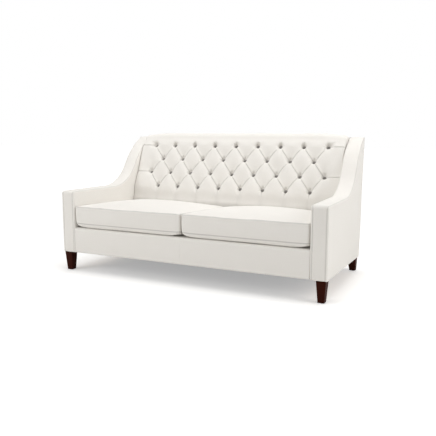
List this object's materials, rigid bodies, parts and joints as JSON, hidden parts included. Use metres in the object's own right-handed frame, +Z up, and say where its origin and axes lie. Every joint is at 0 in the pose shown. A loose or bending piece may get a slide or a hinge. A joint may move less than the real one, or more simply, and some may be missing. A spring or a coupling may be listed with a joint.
{
  "type": "two-seater sofa",
  "caption": "Two-seater sofa with a diamond-tufted back, swooped arms, loose box seat cushions and square tapered legs.",
  "frame": {"origin": "on the floor under the middle of the sofa, at the bottom centre of its bounding box", "axes": "+X to the right as one faces the sofa from its front, +Y from the front to the back, +Z up"},
  "size_m": [1.81, 0.91, 0.912],
  "materials": {
    "espresso_wood": "satin stain",
    "glide": "matte",
    "steel": "zinc plated",
    "timber": "bare",
    "plywood": "bare",
    "foam": "open-cell foam, matte",
    "linen": "plain weave, matte",
    "zip_tape": "woven tape with coil teeth, matte",
    "felt": "felt, matte",
    "dust_cloth": "non-woven cloth, matte",
    "webbing": "woven strap, matte"
  },
  "bodies": {
    "sofa": {"front_left_leg": "espresso_wood", "front_right_leg": "espresso_wood", "rear_left_leg": "espresso_wood", "rear_right_leg": "espresso_wood", "glides": "glide", "leg_bolts": "steel", "leg_nuts": "steel", "leg_blocks": "timber", "arm_base_rails": "timber", "arm_front_posts": "timber", "arm_rear_posts": "timber", "arm_top_slats": "plywood", "arm_inner_boards": "plywood", "arm_bolt_rails": "timber", "arm_bolts": "steel", "left_arm_side_panel": "plywood", "right_arm_side_panel": "plywood", "left_arm_foam": "foam", "right_arm_foam": "foam", "left_arm_outer_cover": "linen", "right_arm_outer_cover": "linen", "left_arm_inner_cover": "linen", "right_arm_inner_cover": "linen", "left_arm_top_band": "linen", "right_arm_top_band": "linen", "left_arm_front_panel": "linen", "right_arm_front_panel": "linen", "front_rail": "timber", "rear_rail": "timber", "side_rails": "timber", "centre_rail": "timber", "corner_blocks": "timber", "seat_springs": "steel", "spring_clips": "steel", "seat_deck": "felt", "dust_cover": "dust_cloth", "front_rail_foam": "foam", "front_rail_cover": "linen", "back_posts": "plywood", "back_middle_posts": "plywood", "back_top_rail": "timber", "back_tack_rail": "timber", "back_bottom_rail": "timber", "back_webbing": "webbing", "back_foam": "foam", "tufted_back": "linen", "back_buttons": "linen", "button_ties": "webbing", "outside_back_cover": "linen"},
    "left_cushion": {"left_cushion_cover": "linen", "left_cushion_foam": "foam", "left_cushion_zip": "zip_tape"},
    "right_cushion": {"right_cushion_cover": "linen", "right_cushion_foam": "foam", "right_cushion_zip": "zip_tape"},
    "left_slider": {"left_zip_slider": "steel"},
    "right_slider": {"right_zip_slider": "steel"}
  },
  "joints": [
    {"name": "left_cushion_lift", "type": "slide", "parent": "sofa", "child": "left_cushion", "axis": [0, 0, 1], "range_m": [0, 0.65]},
    {"name": "right_cushion_lift", "type": "slide", "parent": "sofa", "child": "right_cushion", "axis": [0, 0, 1], "range_m": [0, 0.65]},
    {"name": "left_zip_slide", "type": "slide", "parent": "left_cushion", "child": "left_slider", "axis": [1, 0, 0], "range_m": [0, 0.625]},
    {"name": "right_zip_slide", "type": "slide", "parent": "right_cushion", "child": "right_slider", "axis": [-1, 0, 0], "range_m": [0, 0.625]}
  ]
}
